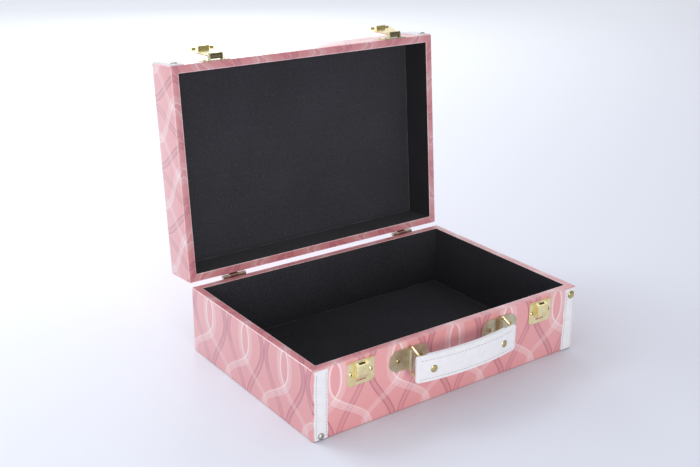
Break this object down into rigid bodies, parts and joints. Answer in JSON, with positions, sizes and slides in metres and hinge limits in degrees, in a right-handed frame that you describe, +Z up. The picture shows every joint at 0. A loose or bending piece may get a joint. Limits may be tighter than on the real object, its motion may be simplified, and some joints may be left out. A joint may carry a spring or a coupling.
{
  "type": "jewelry box",
  "caption": "Suitcase-shaped jewelry box wrapped in patterned paper, with a hinged lid, dark velvet lining, hasp latches, leather corner strips and a leather handle on wire loops.",
  "frame": {"origin": "middle of the flat underside of the base", "axes": "+X along the front to the viewer's right, +Y from the front to the hinges, +Z up"},
  "size_m": [0.3, 0.2868, 0.2801],
  "materials": {
    "board": "raw fibreboard, covered",
    "printed_paper": "matt printed paper",
    "velvet_lining": "short black pile",
    "white_leather": "smooth, stitched",
    "gold_brass": "bright plating",
    "satin_brass": "satin plating"
  },
  "bodies": {
    "base": {"base_bottom_board": "board", "base_front_board": "board", "base_back_board": "board", "base_left_board": "board", "base_right_board": "board", "base_paper_wrap": "printed_paper", "base_underside_sheet": "printed_paper", "base_floor_lining": "velvet_lining", "base_wall_lining": "velvet_lining", "base_corner_strip_left": "white_leather", "base_corner_strip_right": "white_leather", "base_strip_rivets": "gold_brass", "catch_plate_left": "gold_brass", "catch_plate_right": "gold_brass", "catch_screws": "gold_brass", "handle_plate_left": "satin_brass", "handle_plate_right": "satin_brass", "handle_plate_screws": "gold_brass", "hinge_base_leaf_left": "gold_brass", "hinge_base_leaf_right": "gold_brass", "hinge_base_screws": "gold_brass", "hinge_pins": "gold_brass"},
    "lid": {"lid_top_board": "board", "lid_front_board": "board", "lid_back_board": "board", "lid_left_board": "board", "lid_right_board": "board", "lid_paper_wrap": "printed_paper", "lid_panel_lining": "velvet_lining", "lid_wall_lining": "velvet_lining", "lid_corner_strip_left": "white_leather", "lid_corner_strip_right": "white_leather", "lid_strip_rivets": "gold_brass", "latch_plate_left": "gold_brass", "latch_plate_right": "gold_brass", "latch_screws": "gold_brass", "latch_pins": "gold_brass", "hinge_lid_leaf_left": "gold_brass", "hinge_lid_leaf_right": "gold_brass", "hinge_lid_screws": "gold_brass"},
    "hasp_left": {"hasp_left": "gold_brass"},
    "hasp_right": {"hasp_right": "gold_brass"},
    "loop_left": {"handle_loop_left": "gold_brass"},
    "loop_right": {"handle_loop_right": "gold_brass"},
    "strap": {"handle_front_leather": "white_leather", "handle_back_leather": "white_leather", "handle_rivets": "gold_brass"}
  },
  "joints": [
    {"name": "lid_hinge", "type": "hinge", "parent": "base", "child": "lid", "pos_m": [0, 0.1041, 0.06525], "axis": [1, 0, 0], "range_deg": [0, 95]},
    {"name": "hasp_left_pivot", "type": "hinge", "parent": "lid", "child": "hasp_left", "pos_m": [-0.103, 0.12541, 0.27499], "axis": [1, 0, 0], "range_deg": [0, 167]},
    {"name": "hasp_right_pivot", "type": "hinge", "parent": "lid", "child": "hasp_right", "pos_m": [0.103, 0.12541, 0.27499], "axis": [1, 0, 0], "range_deg": [0, 167]},
    {"name": "handle_left_swing", "type": "hinge", "parent": "base", "child": "loop_left", "pos_m": [-0.052, -0.1045, 0.0488], "axis": [0, 0, 1], "range_deg": [-49, 71]},
    {"name": "handle_right_swing", "type": "hinge", "parent": "base", "child": "loop_right", "pos_m": [0.052, -0.1045, 0.0488], "axis": [0, 0, 1], "range_deg": [-49, 71]},
    {"name": "strap_swing", "type": "hinge", "parent": "loop_left", "child": "strap", "pos_m": [-0.05458, -0.11775, 0.0461], "axis": [0, 0, 1], "range_deg": [-71, 49]}
  ],
  "couplings": [
    {"joint": "handle_right_swing", "follows": "handle_left_swing", "ratio": 1},
    {"joint": "strap_swing", "follows": "handle_left_swing", "ratio": -1}
  ]
}
